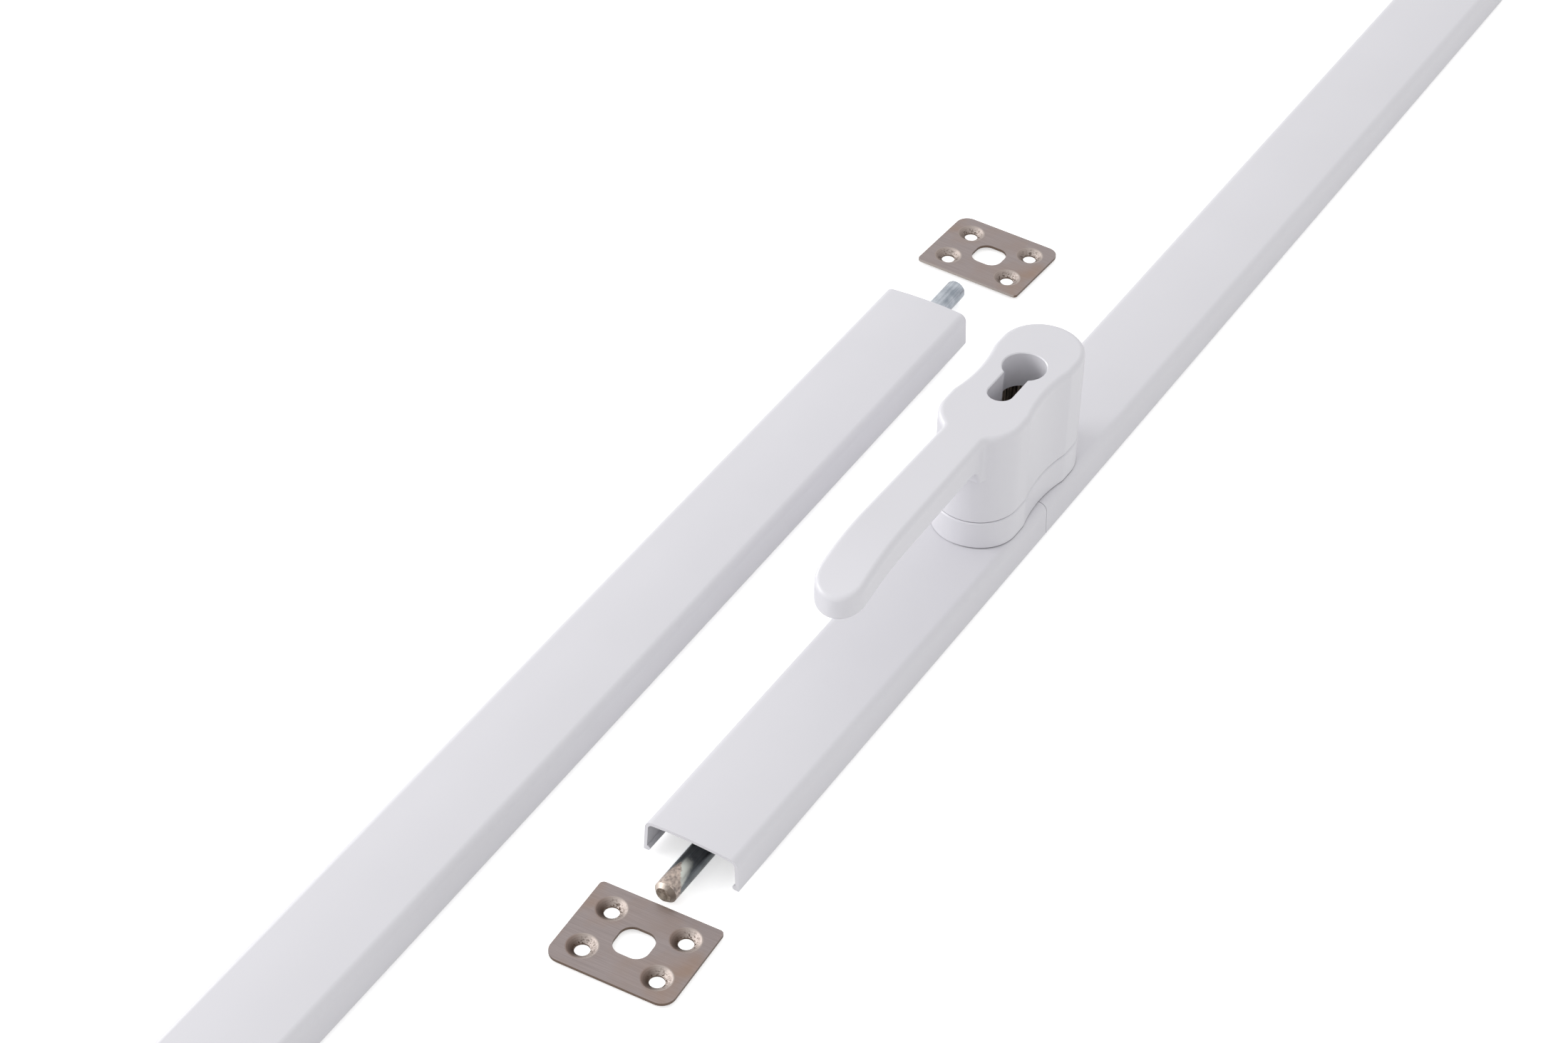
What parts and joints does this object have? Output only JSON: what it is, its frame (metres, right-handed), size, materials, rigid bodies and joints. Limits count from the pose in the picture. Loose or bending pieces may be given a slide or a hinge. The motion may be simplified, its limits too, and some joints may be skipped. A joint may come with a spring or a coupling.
{
  "type": "cremone bolt",
  "caption": "Flat cremone door bolt: lockable drooping lever on an eight-shaped head, long square-topped covers over round rods, loose strike plates.",
  "frame": {"origin": "on the lever's axis, in the mounting plane against the door, midway between the two tapped pillars", "axes": "+Z away from the door along the lever's axis, +Y along the drive length towards the head of the door, +X to the side the lever swings to when the door is unbolted"},
  "size_m": [0.1436, 0.9438, 0.0714],
  "materials": {
    "cover_finish": "satin",
    "handle_finish": "satin",
    "strike_steel": "brushed",
    "rod_zinc": "bright zinc",
    "guide_polymer": "matte",
    "housing_casting": "as cast",
    "bearing_polymer": "matte",
    "spring_steel": "bright",
    "zinc_steel": "zinc plated"
  },
  "bodies": {
    "base": {"base_plate": "zinc_steel", "gear_housing": "housing_casting", "housing_screws": "zinc_steel", "plinth": "handle_finish", "plinth_screws": "zinc_steel", "spindle_bush": "bearing_polymer", "lower_cover": "cover_finish", "upper_cover": "cover_finish", "head_cover": "cover_finish", "foot_guide": "guide_polymer", "lower_guide": "guide_polymer", "upper_guide": "guide_polymer", "middle_guide": "guide_polymer", "joint_guide": "guide_polymer", "head_guide": "guide_polymer", "head_middle_guide": "guide_polymer", "head_joint_guide": "guide_polymer", "foot_strike_plate": "strike_steel", "head_strike_plate": "strike_steel"},
    "lever": {"handle": "handle_finish", "drive_spindle": "zinc_steel", "pinion": "zinc_steel", "retaining_ring": "spring_steel", "friction_washer": "bearing_polymer", "handle_screws": "zinc_steel", "lock_spring": "spring_steel"},
    "lower_bolt": {"lower_rack": "zinc_steel", "lower_rod": "rod_zinc", "lower_cross_pin": "zinc_steel"},
    "upper_bolt": {"upper_rack": "zinc_steel", "upper_rod": "rod_zinc", "upper_cross_pin": "zinc_steel", "joining_stud": "zinc_steel"},
    "lock": {"lock_pin": "zinc_steel"},
    "head_bolt": {"head_rod": "rod_zinc"}
  },
  "joints": [
    {"name": "handle_turn", "type": "hinge", "parent": "base", "child": "lever", "pos_m": [0, 0, 0.02945], "axis": [0, 0, 1], "range_deg": [0, 90]},
    {"name": "lower_bolt_slide", "type": "slide", "parent": "base", "child": "lower_bolt", "axis": [0, 1, 0], "range_m": [0, 0.01886]},
    {"name": "upper_bolt_slide", "type": "slide", "parent": "base", "child": "upper_bolt", "axis": [0, -1, 0], "range_m": [0, 0.01886]},
    {"name": "lock_press", "type": "slide", "parent": "lever", "child": "lock", "axis": [0, 0, -1], "range_m": [0, 0.004], "stiffness_N_per_m": 200, "springref_m": -0.002, "deforming": ["lock_spring"]},
    {"name": "head_bolt_slide", "type": "slide", "parent": "base", "child": "head_bolt", "axis": [0.0127, -0.9999, 0], "range_m": [0, 0.01885]}
  ],
  "couplings": [
    {"joint": "lower_bolt_slide", "follows": "handle_turn", "m_per_rad": 0.012},
    {"joint": "upper_bolt_slide", "follows": "handle_turn", "m_per_rad": 0.012}
  ]
}
